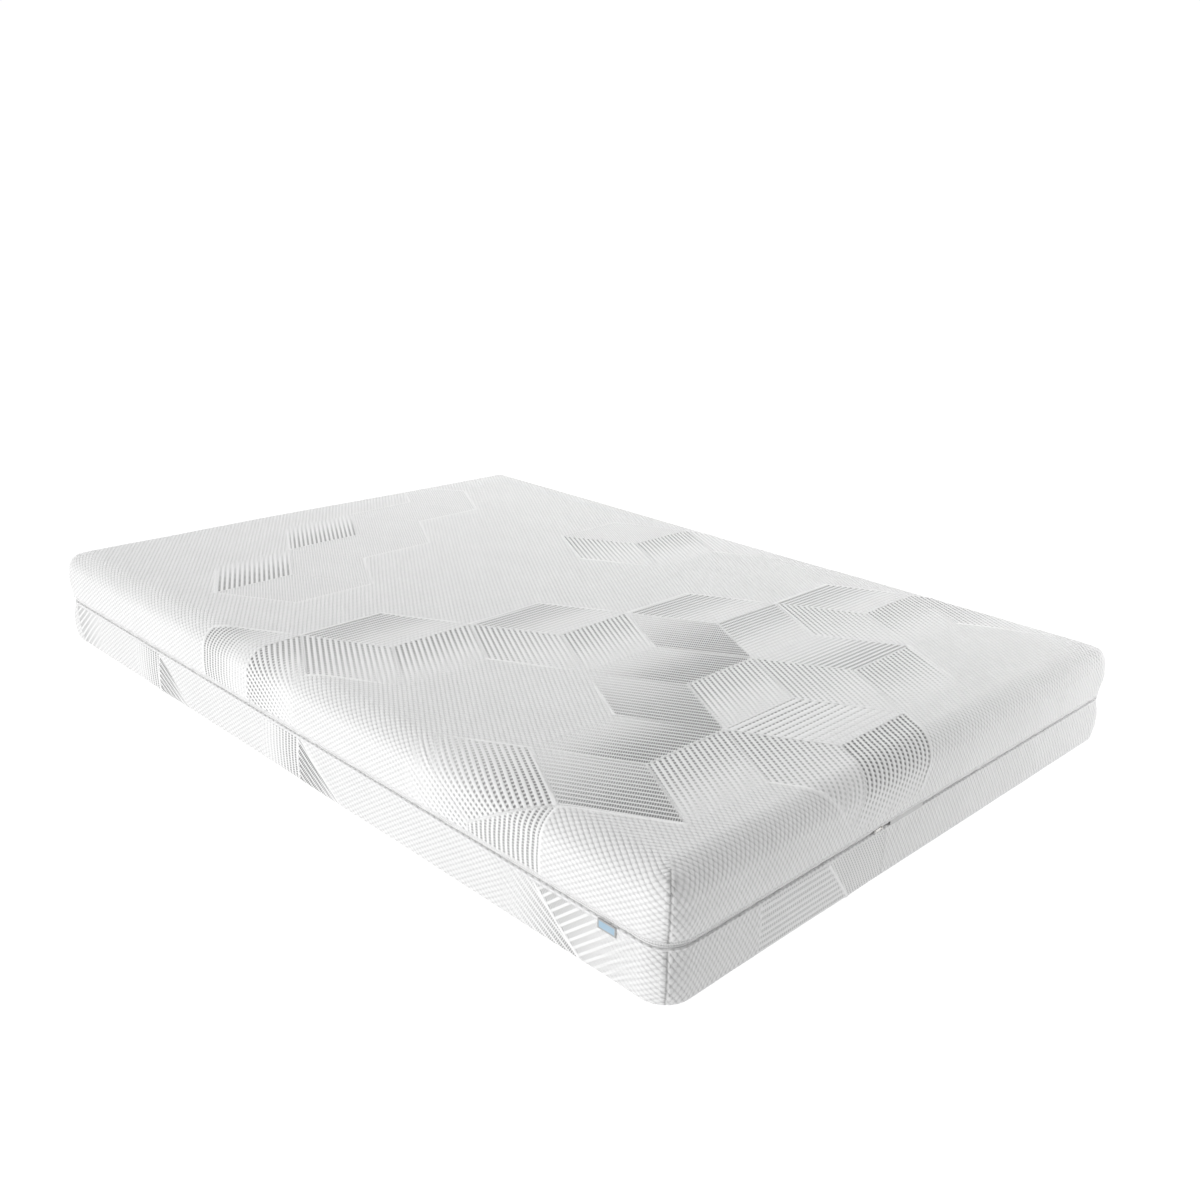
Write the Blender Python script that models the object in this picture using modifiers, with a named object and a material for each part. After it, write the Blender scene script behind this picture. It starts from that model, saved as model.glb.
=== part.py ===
"""Memory foam mattress, 140 x 200 x 22 cm, with a zip-off two-piece knit cover.

Frame: metres, +Z up, origin at the centre of the underside, +X towards the foot end, where the
zip's slider is parked. Two foam layers lie inside a lower and an upper cover half. A coil zip
runs round the mattress between them, in a channel between the two hems.
"""

import math

import bmesh
import bpy
from mathutils import Matrix, Vector

# The mattress as a whole
LENGTH = 2.000
WIDTH = 1.400
HEIGHT = 0.220
PLAN_RADIUS = 0.055
GAP = 0.0003

# The two cover halves
FABRIC = 0.009
TOP_ROUND = 0.050
BASE_ROUND = 0.012
LOWER_INSET = 0.0015
CORNER_SEGMENTS = 8
ROUND_SEGMENTS = 5

# The zip, measured inwards from the upper cover's face
ZIP_Z = 0.104
CHANNEL = 0.0086
TAPE_INSET = 0.0070
TAPE_THICKNESS = 0.0009
TAPE_WIDTH = 0.0038
COIL_INSET = 0.0049
COIL_DEPTH = 0.0018
COIL_WIDTH = 0.0019

# The foam
FOAM_INSET = 0.0125
FOAM_GAP = 0.0005
MEMORY_FOAM = 0.055
MEMORY_FOAM_ROUND = 0.040
SUPPORT_ROUND = 0.010
FOAM_SEGMENTS = 4
ZONE_CENTRES = (-0.60, -0.05, 0.55)
SLITS_PER_ZONE = 5
SLIT_PITCH = 0.050
SLIT_WIDTH = 0.006
SLIT_DEPTH = 0.030

# The zip's ends, on the foot side
GARAGE_START = -0.139
GARAGE_LENGTH = 0.102
GARAGE_THICKNESS = 0.001
TAPE_END = 0.020
COIL_END = 0.010
STOP_LENGTH = 0.005
STOP_DEPTH = 0.0022

# The slider and its puller
SLIDER_Y = -0.165
SLIDER_LENGTH = 0.012
SLIDER_HEIGHT = 0.0074
PLATE = 0.0014
FLANGE = 0.0010
LUG_THICKNESS = 0.0010
LUG_SPACING = 0.0036
LUG_LENGTH = 0.0030
PIN_RADIUS = 0.0006
PIN_RISE = 0.0018
BARREL_RADIUS = 0.0013
BARREL_BORE = 0.00075
BARREL_HEIGHT = 0.0030
PULLER_LENGTH = 0.022
PULLER_NECK = 0.0040
PULLER_WIDTH = 0.0055
PULLER_THICKNESS = 0.0010
PULLER_HOLE = 0.0015
PIN_SIDES = 24

# The label sewn under the zip on the long side
LABEL_X = 0.878
LABEL_WIDTH = 0.038
LABEL_DROP = 0.017
LABEL_THICKNESS = 0.0008


def clear_scene():
    for obj in list(bpy.data.objects):
        bpy.data.objects.remove(obj, do_unlink=True)


def material(name, colour, roughness, metallic=0.0):
    mat = bpy.data.materials.new(name)
    mat.use_nodes = True
    shader = mat.node_tree.nodes["Principled BSDF"]
    shader.inputs["Base Color"].default_value = (*colour, 1.0)
    shader.inputs["Roughness"].default_value = roughness
    shader.inputs["Metallic"].default_value = metallic
    return mat


clear_scene()
mattress = bpy.data.collections.new("mattress")
cutters = bpy.data.collections.new("cutters")
for collection in (mattress, cutters):
    bpy.context.scene.collection.children.link(collection)

root = bpy.data.objects.new("mattress_root", None)
mattress.objects.link(root)

KNIT = material("knit_white", (0.90, 0.90, 0.89), 0.85)
KNIT_LOWER = material("knit_lower", (0.88, 0.88, 0.87), 0.85)
TAPE = material("zip_tape_grey", (0.62, 0.62, 0.62), 0.80)
COIL = material("zip_coil_grey", (0.55, 0.55, 0.55), 0.45)
SLIDER_METAL = material("slider_metal", (0.50, 0.50, 0.50), 0.35, 1.0)
LABEL_BLUE = material("label_blue", (0.39, 0.60, 0.79), 0.60)
FOAM_WHITE = material("memory_foam", (0.90, 0.88, 0.80), 0.95)
FOAM_GREY = material("support_foam", (0.62, 0.66, 0.70), 0.95)


def place(name, bm, mat, location, parent=root):
    """Makes a named part from a bmesh whose coordinates are local to its location."""
    mesh = bpy.data.meshes.new(name)
    bmesh.ops.recalc_face_normals(bm, faces=bm.faces)
    bm.to_mesh(mesh)
    bm.free()
    mesh.materials.append(mat)
    mesh.shade_smooth()
    mesh.set_sharp_from_angle(angle=math.radians(35))
    obj = bpy.data.objects.new(name, mesh)
    obj.location = location
    obj.parent = parent
    mattress.objects.link(obj)
    return obj


def cutter(name, bm, location):
    """A closed helper body, kept out of the part, that a Boolean subtracts."""
    obj = place(name, bm, KNIT, location)
    mattress.objects.unlink(obj)
    cutters.objects.link(obj)
    obj.parent = None
    obj.hide_render = True
    obj.display_type = "WIRE"
    return obj


def boolean(obj, other, operation):
    mod = obj.modifiers.new(other.name, "BOOLEAN")
    mod.operation = operation
    mod.solver = "EXACT"
    mod.object = other


def solidify(obj, thickness):
    mod = obj.modifiers.new("thickness", "SOLIDIFY")
    mod.thickness = thickness
    mod.offset = -1.0
    mod.use_even_offset = True


def box(bm, size, centre=(0.0, 0.0, 0.0)):
    """Adds an axis-aligned box to the bmesh."""
    matrix = Matrix.Translation(centre) @ Matrix.Diagonal((*size, 1.0))
    return bmesh.ops.create_cube(bm, size=1.0, matrix=matrix)["verts"]


def is_upright(edge):
    a, b = (v.co for v in edge.verts)
    return abs(a.z - b.z) > 10 * max(abs(a.x - b.x), abs(a.y - b.y))


def round_edges(bm, edges, radius, segments):
    bmesh.ops.bevel(
        bm, geom=list(edges), offset=radius, segments=segments, profile=0.5, affect="EDGES"
    )


def flat_faces(bm, z):
    return [f for f in bm.faces if all(abs(v.co.z - z) < GAP for v in f.verts)]


def rim_edges(bm, z):
    return [e for e in bm.edges if all(abs(v.co.z - z) < GAP for v in e.verts)]


def rounded_prism(inset, z_low, z_high):
    """A closed box with round upright corners, inset from the mattress's outer face."""
    bm = bmesh.new()
    size = (LENGTH - 2 * inset, WIDTH - 2 * inset, z_high - z_low)
    box(bm, size, (0.0, 0.0, (z_low + z_high) / 2))
    uprights = [e for e in bm.edges if is_upright(e)]
    round_edges(bm, uprights, PLAN_RADIUS - inset, CORNER_SEGMENTS)
    return bm


def cover_half(name, inset, z_hem, z_far, edge_round, mat):
    """A fabric shell with round corners and a round far edge, open at its hem."""
    low, high = sorted((z_hem, z_far))
    bm = rounded_prism(inset, low, high)
    bmesh.ops.delete(bm, geom=flat_faces(bm, z_hem), context="FACES_ONLY")
    round_edges(bm, rim_edges(bm, z_far), edge_round, ROUND_SEGMENTS)
    bmesh.ops.translate(bm, verts=bm.verts, vec=(0.0, 0.0, -ZIP_Z))
    obj = place(name, bm, mat, (0.0, 0.0, ZIP_Z))
    solidify(obj, FABRIC)
    return obj


def zip_band(name, inset, z_low, z_high, thickness, mat, opening):
    """A band round the whole mattress, with a break in it behind the zip garage."""
    bm = rounded_prism(inset, z_low, z_high)
    for z in (z_low, z_high):
        bmesh.ops.delete(bm, geom=flat_faces(bm, z), context="FACES_ONLY")
    bmesh.ops.translate(bm, verts=bm.verts, vec=(0.0, 0.0, -ZIP_Z))
    obj = place(name, bm, mat, (0.0, 0.0, ZIP_Z))
    solidify(obj, thickness)
    boolean(obj, opening, "DIFFERENCE")
    return obj


def garage_opening(name, margin):
    """The stretch of the foot side that a zip band leaves out, behind the garage flap."""
    bm = bmesh.new()
    box(bm, (0.1, GARAGE_LENGTH - 2 * margin, 0.1))
    middle = GARAGE_START + GARAGE_LENGTH / 2
    return cutter(name, bm, (LENGTH / 2, middle, ZIP_Z))


def make_covers():
    hem = CHANNEL / 2
    cover_half("upper_cover", 0.0, ZIP_Z + hem, HEIGHT, TOP_ROUND, KNIT)
    cover_half("lower_cover", LOWER_INSET, ZIP_Z - hem, 0.0, BASE_ROUND, KNIT_LOWER)


def make_zip_bands():
    half = GAP / 2
    tape_opening = garage_opening("tape_opening", TAPE_END)
    coil_opening = garage_opening("coil_opening", COIL_END)
    for side, sign in (("upper", 1), ("lower", -1)):
        for part, inset, width, depth, mat, opening in (
            ("zip_tape", TAPE_INSET, TAPE_WIDTH, TAPE_THICKNESS, TAPE, tape_opening),
            ("zip_coil", COIL_INSET, COIL_WIDTH, COIL_DEPTH, COIL, coil_opening),
        ):
            low, high = sorted((ZIP_Z + sign * half, ZIP_Z + sign * (half + width)))
            zip_band(f"{side}_{part}", inset, low, high, depth, mat, opening)


def make_foam():
    floor = FABRIC + FOAM_GAP
    top = HEIGHT - FABRIC - FOAM_GAP
    joint = top - MEMORY_FOAM
    bm = rounded_prism(FOAM_INSET, joint, top)
    round_edges(bm, rim_edges(bm, top), MEMORY_FOAM_ROUND, FOAM_SEGMENTS)
    bmesh.ops.translate(bm, verts=bm.verts, vec=(0.0, 0.0, -joint))
    place("memory_foam_layer", bm, FOAM_WHITE, (0.0, 0.0, joint))

    bm = rounded_prism(FOAM_INSET, floor, joint - GAP)
    round_edges(bm, rim_edges(bm, floor), SUPPORT_ROUND, FOAM_SEGMENTS)
    bmesh.ops.translate(bm, verts=bm.verts, vec=(0.0, 0.0, -floor))
    core = place("support_core", bm, FOAM_GREY, (0.0, 0.0, floor))

    slits = bmesh.new()
    for centre in ZONE_CENTRES:
        for i in range(SLITS_PER_ZONE):
            x = centre + (i - (SLITS_PER_ZONE - 1) / 2) * SLIT_PITCH
            box(slits, (SLIT_WIDTH, WIDTH, 2 * SLIT_DEPTH), (x, 0.0, 0.0))
    boolean(core, cutter("zone_slits", slits, (0.0, 0.0, joint - GAP)), "DIFFERENCE")


def make_zip_ends():
    """The garage flap over the zip's two ends, and the stop on each end of the coils."""
    face = LENGTH / 2 - LOWER_INSET
    bm = bmesh.new()
    box(bm, (GARAGE_THICKNESS, GARAGE_LENGTH, CHANNEL - 2 * GAP))
    middle = GARAGE_START + GARAGE_LENGTH / 2
    place("zip_garage", bm, KNIT_LOWER, (face - GARAGE_THICKNESS / 2, middle, ZIP_Z))

    tape_face = LENGTH / 2 - TAPE_INSET + GAP
    far_end = GARAGE_START + GARAGE_LENGTH
    inside = COIL_END + GAP + STOP_LENGTH / 2
    for name, y in (
        ("zip_end_stop", GARAGE_START + inside),
        ("zip_start_stop", far_end - inside),
    ):
        # Each stop is clinched on the lower half only, so that the upper half lifts off it.
        bm = bmesh.new()
        height = COIL_WIDTH * 1.6
        box(bm, (STOP_DEPTH, STOP_LENGTH, height))
        round_edges(bm, bm.edges, STOP_DEPTH / 6, 2)
        z = ZIP_Z - GAP / 2 - height / 2
        place(name, bm, SLIDER_METAL, (tape_face + STOP_DEPTH / 2, y, z))


def cylinder(bm, radius, height):
    """An upright cylinder centred on the bmesh's origin."""
    return bmesh.ops.create_cone(
        bm, cap_ends=True, segments=PIN_SIDES, radius1=radius, radius2=radius, depth=height
    )


def make_slider():
    """The slider's outer body. Its origin is on the puller's pin."""
    coil_face = LENGTH / 2 - COIL_INSET + GAP
    pin = Vector((coil_face + PLATE + PIN_RISE, SLIDER_Y, ZIP_Z))
    plate_x = coil_face + PLATE / 2 - pin.x

    bm = bmesh.new()
    box(bm, (PLATE, SLIDER_LENGTH, SLIDER_HEIGHT), (plate_x, 0.0, 0.0))
    uprights = [e for e in bm.edges if abs(e.verts[0].co.x - e.verts[1].co.x) > PLATE / 2]
    round_edges(bm, uprights, SLIDER_HEIGHT / 5, 3)
    slider = place("zip_slider", bm, SLIDER_METAL, pin)

    # One flange hooks round the lower coil. The upper side stays open for the upper coil.
    flange_drop = COIL_DEPTH
    bm = bmesh.new()
    size = (flange_drop + PLATE / 2, SLIDER_LENGTH * 0.8, FLANGE)
    x = coil_face - pin.x - flange_drop / 2 + PLATE / 4
    z = -(GAP / 2 + COIL_WIDTH + GAP + FLANGE / 2)
    box(bm, size, (x, 0.0, z))
    boolean(slider, cutter("slider_flange", bm, pin), "UNION")

    rise = PIN_RISE + PIN_RADIUS * 1.7
    for side, sign in (("upper", 1), ("lower", -1)):
        bm = bmesh.new()
        size = (rise + PLATE / 2, LUG_LENGTH, LUG_THICKNESS)
        x = PIN_RADIUS * 1.7 - size[0] / 2
        box(bm, size, (x, 0.0, sign * (LUG_SPACING + LUG_THICKNESS) / 2))
        boolean(slider, cutter(f"slider_lug_{side}", bm, pin), "UNION")
    bm = bmesh.new()
    cylinder(bm, PIN_RADIUS, LUG_SPACING + LUG_THICKNESS)
    boolean(slider, cutter("slider_pin", bm, pin), "UNION")
    return slider


def make_puller(slider):
    """A flat tab on a barrel round the slider's pin, lying along the closed zip."""
    curve = bpy.data.curves.new("puller_outline", "CURVE")
    curve.dimensions = "2D"
    curve.fill_mode = "BOTH"
    curve.extrude = PULLER_THICKNESS / 2
    neck = BARREL_HEIGHT / 2 - GAP
    half = PULLER_WIDTH / 2
    tip = PULLER_LENGTH - half
    outline = [(0.0, -neck), (PULLER_NECK, -neck), (PULLER_NECK + half - neck, -half)]
    for i in range(9):
        a = math.radians(-90 + 180 * i / 8)
        outline.append((tip + half * math.cos(a), half * math.sin(a)))
    outline += [(PULLER_NECK + half - neck, half), (PULLER_NECK, neck), (0.0, neck)]
    hole = [
        (tip + PULLER_HOLE * math.cos(a), PULLER_HOLE * math.sin(a))
        for a in (math.radians(30 * i) for i in range(12))
    ]
    for points in (outline, hole):
        spline = curve.splines.new("POLY")
        spline.points.add(len(points) - 1)
        spline.use_cyclic_u = True
        for point, (x, y) in zip(spline.points, points):
            point.co = (x, y, 0.0, 1.0)
    source = bpy.data.objects.new("puller_outline", curve)
    cutters.objects.link(source)
    graph = bpy.context.evaluated_depsgraph_get()
    flat = bpy.data.meshes.new_from_object(source.evaluated_get(graph))
    bm = bmesh.new()
    bm.from_mesh(flat)
    bpy.data.objects.remove(source)
    bmesh.ops.remove_doubles(bm, verts=bm.verts, dist=1e-6)
    # The outline's length runs along -Y, its width along Z and its thickness along X.
    turn = Matrix(((0, 0, 1, 0), (-1, 0, 0, 0), (0, 1, 0, 0), (0, 0, 0, 1)))
    bmesh.ops.transform(bm, matrix=turn, verts=bm.verts)
    puller = place("zip_puller", bm, SLIDER_METAL, (0.0, 0.0, 0.0), parent=slider)

    pin = slider.location
    bm = bmesh.new()
    cylinder(bm, BARREL_RADIUS, BARREL_HEIGHT)
    boolean(puller, cutter("puller_barrel", bm, pin), "UNION")
    bm = bmesh.new()
    cylinder(bm, BARREL_BORE, BARREL_HEIGHT * 2)
    boolean(puller, cutter("puller_bore", bm, pin), "DIFFERENCE")


def make_label():
    """A blank woven label. Its origin is on the stitched edge that it hangs from."""
    bm = bmesh.new()
    box(bm, (LABEL_WIDTH, LABEL_THICKNESS, LABEL_DROP), (0.0, 0.0, -LABEL_DROP / 2))
    y = -WIDTH / 2 + LOWER_INSET / 2
    place("side_label", bm, LABEL_BLUE, (LABEL_X, y, ZIP_Z - CHANNEL / 2 + GAP))


make_covers()
make_zip_bands()
make_foam()
make_zip_ends()
make_puller(make_slider())
make_label()
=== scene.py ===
import math

import bpy
import numpy as np
from mathutils import Matrix, Vector


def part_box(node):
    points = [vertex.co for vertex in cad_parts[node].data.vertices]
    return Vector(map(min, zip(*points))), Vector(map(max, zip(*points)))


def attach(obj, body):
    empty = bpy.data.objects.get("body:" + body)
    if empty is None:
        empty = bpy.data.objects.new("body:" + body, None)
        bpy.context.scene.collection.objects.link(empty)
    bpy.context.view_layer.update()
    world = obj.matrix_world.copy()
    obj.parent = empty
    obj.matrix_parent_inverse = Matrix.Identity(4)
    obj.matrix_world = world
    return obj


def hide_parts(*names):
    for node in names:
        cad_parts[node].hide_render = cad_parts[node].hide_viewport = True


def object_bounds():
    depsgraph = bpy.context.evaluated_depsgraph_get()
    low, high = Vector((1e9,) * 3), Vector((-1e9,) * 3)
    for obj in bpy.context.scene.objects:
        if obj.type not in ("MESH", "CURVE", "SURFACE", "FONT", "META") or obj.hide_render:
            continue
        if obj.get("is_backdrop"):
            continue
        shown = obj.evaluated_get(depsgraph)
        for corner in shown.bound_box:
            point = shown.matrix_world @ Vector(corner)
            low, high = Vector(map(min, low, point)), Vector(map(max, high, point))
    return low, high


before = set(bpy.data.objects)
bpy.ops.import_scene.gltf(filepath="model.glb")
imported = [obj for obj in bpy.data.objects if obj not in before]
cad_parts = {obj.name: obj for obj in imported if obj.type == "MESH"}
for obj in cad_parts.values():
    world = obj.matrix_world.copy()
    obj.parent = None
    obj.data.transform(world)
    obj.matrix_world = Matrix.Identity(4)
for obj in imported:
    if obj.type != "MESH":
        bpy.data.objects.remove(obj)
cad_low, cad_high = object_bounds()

# Mesh steps, in metres
STEP = 0.0025
FOAM_STEP = 0.006

# The two covers, read from their CAD nodes, and the roundings they were drawn with
UPPER_LOW, UPPER_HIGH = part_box("upper_cover")
LOWER_LOW, LOWER_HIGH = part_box("lower_cover")
HALF_LENGTH = UPPER_HIGH.x
HALF_WIDTH = UPPER_HIGH.y
TOP_Z = UPPER_HIGH.z
UPPER_HEM_Z = UPPER_LOW.z
LOWER_HEM_Z = LOWER_HIGH.z
PLAN_RADIUS = 0.055
TOP_ROUND = 0.050
BASE_ROUND = 0.012
FABRIC = 0.009
LOWER_INSET = HALF_LENGTH - LOWER_HIGH.x

# The knitted pattern: tumbling blocks of this edge, turned and placed on the cloth, on a plain
# ground of staggered bumps with this spacing along and across
EDGE = 0.2004
TURN = 0.0101
ORIGIN = (0.5465, 0.4377)
ROOT3 = math.sqrt(3.0)
WAFFLE = (0.0155, 0.0104)

# Relief of the knit's shape, in metres
RIB_DEPTH = 0.0014
RIB_SWELL = 0.0003
RIDGE_HEIGHT = 0.0014
RIDGE_WIDTH = 0.0030
SEAM_DEPTH = 0.0026
SEAM_WIDTH = 0.0028
# Width of the painted shade along the corner seams
SEAM_SHADE_WIDTH = 0.0014
PUCKER_HEIGHT = 0.0012
PUCKER_PITCH = 0.0088
PUCKER_REACH = 0.010
CORNER_PEAK = 0.0095
CORNER_REACH = 0.020
HEM_WAVER = 0.0005

# Finer relief that only the shader carries, in metres
WAFFLE_HEIGHT = 0.0018
GROOVE_BUMP = 0.0010
STITCH_BUMP = 0.0004
STITCH_PITCH = 0.0042

# Directions of the ribs on the cloth: upright, down, up and steeper down to the right
DIRECTIONS = {
    "v": (0.0, 1.0),
    "d": (ROOT3 / 2, -0.5),
    "a": (ROOT3 / 2, 0.5),
    "b": (0.77, -0.64),
}
# Each kind of rib: direction, pitch, stitch period along it, groove's share of the pitch, depth
RIBS = {
    "v": ("v", 0.0112, 0.0052, 0.48, 1.10),
    "w": ("v", 0.0140, 0.0105, 0.26, 1.00),
    "d": ("d", 0.0109, 0.0093, 0.42, 1.15),
    "a": ("a", 0.0122, 0.0041, 0.66, 1.30),
    "b": ("b", 0.0128, 0.0040, 0.62, 0.80),
    "f": ("d", 0.0060, 0.0060, 0.50, 0.62),
}


def vertex(u, k):
    """A lattice point of the tumbling blocks, in cloth coordinates."""
    x = u * EDGE * ROOT3 / 2
    y = -k * EDGE
    c, s = math.cos(TURN), math.sin(TURN)
    return np.array((ORIGIN[0] + c * x - s * y, ORIGIN[1] + s * x + c * y))


def rhombus(u, k, which):
    """The corners of one face of the block whose near corner is at (u, k)."""
    offsets = {
        "T": ((0, 0), (-1, -0.5), (0, -1), (1, -0.5)),
        "L": ((0, 0), (-1, -0.5), (-1, 0.5), (0, 1)),
        "R": ((0, 0), (1, -0.5), (1, 0.5), (0, 1)),
    }[which]
    return np.array([vertex(u + du, k + dk) for du, dk in offsets])


# ---------------------------------------------------------------- pattern lists
# Block faces that are filled: (block column, block row, face, ribs, deep side, depth)
BLOCK_FACES = [
    (0, 0, "T", "d", -1, 1.0), (0, 0, "L", "v", -1, 1.0), (0, 0, "R", "v", 1, 1.0),
    (-1, 0, "R", "v", -1, 1.0), (1, 0, "L", "d", -1, 1.0),
    (0, -1, "L", "d", -1, 1.0), (0, -1, "T", "d", -1, 1.0), (-1, -1, "R", "v", -1, 1.0),
    (-1, 1, "T", "a", 1, 1.0), (-1, 1, "L", "d", -1, 1.0), (-1, 1, "R", "a", 1, 1.0),
    (-2, 1, "R", "v", -1, 1.0), (0, 1, "T", "d", -1, 1.0), (0, 1, "L", "d", -1, 1.0),
    (0, 1, "R", "w", -1, 1.0), (1, 1, "L", "d", -1, 1.5),
    (0, 2, "T", "a", 1, 1.0), (0, 2, "R", "a", 1, 1.0), (-1, 2, "T", "d", -1, 1.0),
    (-1, 2, "L", "d", -1, 1.0), (-2, 2, "R", "v", -1, 1.0),
    (1, 2, "T", "d", -1, 1.0), (1, 2, "L", "d", -1, 1.0),
    (-2, 3, "T", "d", -1, 1.0), (-2, 3, "L", "d", -1, 1.0), (-3, 3, "R", "v", -1, 1.0),
    (0, 3, "T", "a", 1, 1.0),
    (-4, 0, "T", "f", 0, 0.8), (-4, 0, "R", "f", 0, 0.8),
    (-4, 1, "T", "f", 0, 0.8), (-4, 1, "L", "d", 1, 1.1), (-4, 1, "R", "f", 0, 0.8),
    (-3, 2, "T", "f", 0, 0.8), (-3, 2, "L", "d", 1, 1.1), (-3, 2, "R", "f", 0, 0.8),
    (-3, -1, "R", "f", 0, 0.8), (-2, -1, "L", "d", -1, 1.0), (-2, -1, "T", "d", -1, 0.5),
    (-2, 0, "T", "d", -1, 1.0),
]
# Faces of blocks that stand off the rows: (u, k, face, ribs, deep side, depth)
LOOSE_FACES = [
    (-4, 7.0, "T", "d", -1, 0.9),
    (0, 6.0, "T", "d", 1, 1.0), (0, 6.0, "R", "v", 0, 1.1), (0, 6.0, "L", "d", 1, 0.6),
]


def faces_to_patches():
    """Every filled face as (corners, rib letter, deep side, depth)."""
    patches = []
    for i, j, which, ribs, side, depth in BLOCK_FACES:
        patches.append((rhombus(2 * i + j % 2, 1 + 1.5 * j, which), ribs, side, depth))
    for u, k, which, ribs, side, depth in LOOSE_FACES:
        patches.append((rhombus(u, k, which), ribs, side, depth))
    return patches


def patch_ridges(patches):
    """The raised lines: full on an outer edge, faint between two fills that differ."""
    edges = {}
    for corners, ribs, side, depth in patches:
        for n in range(4):
            a, b = corners[n], corners[(n + 1) % 4]
            key = tuple(sorted((tuple(np.round(a, 3)), tuple(np.round(b, 3)))))
            reach = (corners[:, 0].min(), corners[:, 0].max())
            edges.setdefault(key, []).append((ribs, side, depth, reach))
    ridges = []
    for (a, b), fills in edges.items():
        if len(fills) > 1 and fills[0][0] == fills[1][0]:
            continue
        strength = 0.35 if len(fills) > 1 else 1.0
        if any(fill[0] == "f" for fill in fills):
            strength *= 0.4
        ridges.append((np.array(a), np.array(b), strength, fills))
    return ridges


def fade_across(x, side):
    """How deep the grooves are across a face, from its low-x edge at 0 to its high-x edge at 1."""
    if side == 0:
        return np.full(len(x), 0.8)
    t = x if side > 0 else 1 - x
    return smooth(t, -0.25, 0.95)


def smooth(x, low, high):
    """A smooth step from 0 at low to 1 at high."""
    t = np.clip((x - low) / (high - low), 0.0, 1.0)
    return t * t * (3 - 2 * t)


def inside_distance(points, corners):
    """Distance to the nearest edge of a convex outline, negative outside."""
    middle = corners.mean(axis=0)
    best = np.full(len(points), 1e9)
    for n in range(len(corners)):
        a, b = corners[n], corners[(n + 1) % len(corners)]
        edge = b - a
        normal = np.array((-edge[1], edge[0])) / np.hypot(*edge)
        if np.dot(middle - a, normal) < 0:
            normal = -normal
        best = np.minimum(best, (points - a) @ normal)
    return best


def line_distance(points, a, b):
    """Distance to the line from a to b, and how far along it the nearest point is."""
    edge = b - a
    t = np.clip(((points - a) @ edge) / np.dot(edge, edge), 0.0, 1.0)
    return np.hypot(*(points - (a + t[:, None] * edge)).T), t


def paint(cloth, patches, ridges):
    """Rib phase, stitch phase, depth and groove share, and ridge height, at each cloth point."""
    n = len(cloth)
    phase, along, depth, share, ridge = (np.zeros(n) for _ in range(5))
    share += 0.5
    for corners, ribs, side, strength in patches:
        low, high = corners.min(axis=0), corners.max(axis=0)
        near = np.nonzero(np.all((cloth > low) & (cloth < high), axis=1))[0]
        if not len(near):
            continue
        here = cloth[near]
        d = inside_distance(here, corners)
        letter, pitch, stitch, groove, rib_depth = RIBS[ribs]
        direction = np.array(DIRECTIONS[letter])
        across = np.array((-direction[1], direction[0]))
        x = (here[:, 0] - low[0]) / (high[0] - low[0])
        amount = smooth(d, 0.0004, 0.0040) * fade_across(x, side) * strength * rib_depth
        use = d > 0
        near, amount = near[use], amount[use]
        phase[near] = (here[use] @ across) / pitch
        along[near] = (here[use] @ direction) / stitch
        depth[near] = amount
        share[near] = groove
    for a, b, strength, fills in ridges:
        low = np.minimum(a, b) - 0.02
        high = np.maximum(a, b) + 0.02
        near = np.nonzero(np.all((cloth > low) & (cloth < high), axis=1))[0]
        if not len(near):
            continue
        d, t = line_distance(cloth[near], a, b)
        if fills:
            x = a[0] + t * (b[0] - a[0])
            filled = [fade_across((x - f[3][0]) / (f[3][1] - f[3][0]), f[1]) * f[2] for f in fills]
            strength = strength * smooth(np.max(filled, axis=0), 0.10, 0.50)
        ridge[near] = np.maximum(ridge[near], strength * np.exp(-((d / RIDGE_WIDTH) ** 2)))
    return phase, along, depth * (1 - 0.9 * ridge), share, ridge


def noise(points, scale, seed):
    """Smooth value noise in the plane, from -1 to 1."""
    p = points / scale
    cell = np.floor(p).astype(np.int64)
    f = p - cell
    f = f * f * (3 - 2 * f)

    def value(dx, dy):
        h = (cell[:, 0] + dx) * 374761393 + (cell[:, 1] + dy) * 668265263 + seed * 1442695041
        h = (h ^ (h >> 13)) * 1274126177
        h = h ^ (h >> 16)
        return (h & 0xFFFF) / 32767.5 - 1.0

    top = value(0, 0) * (1 - f[:, 0]) + value(1, 0) * f[:, 0]
    low = value(0, 1) * (1 - f[:, 0]) + value(1, 1) * f[:, 0]
    return top * (1 - f[:, 1]) + low * f[:, 1]


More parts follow.
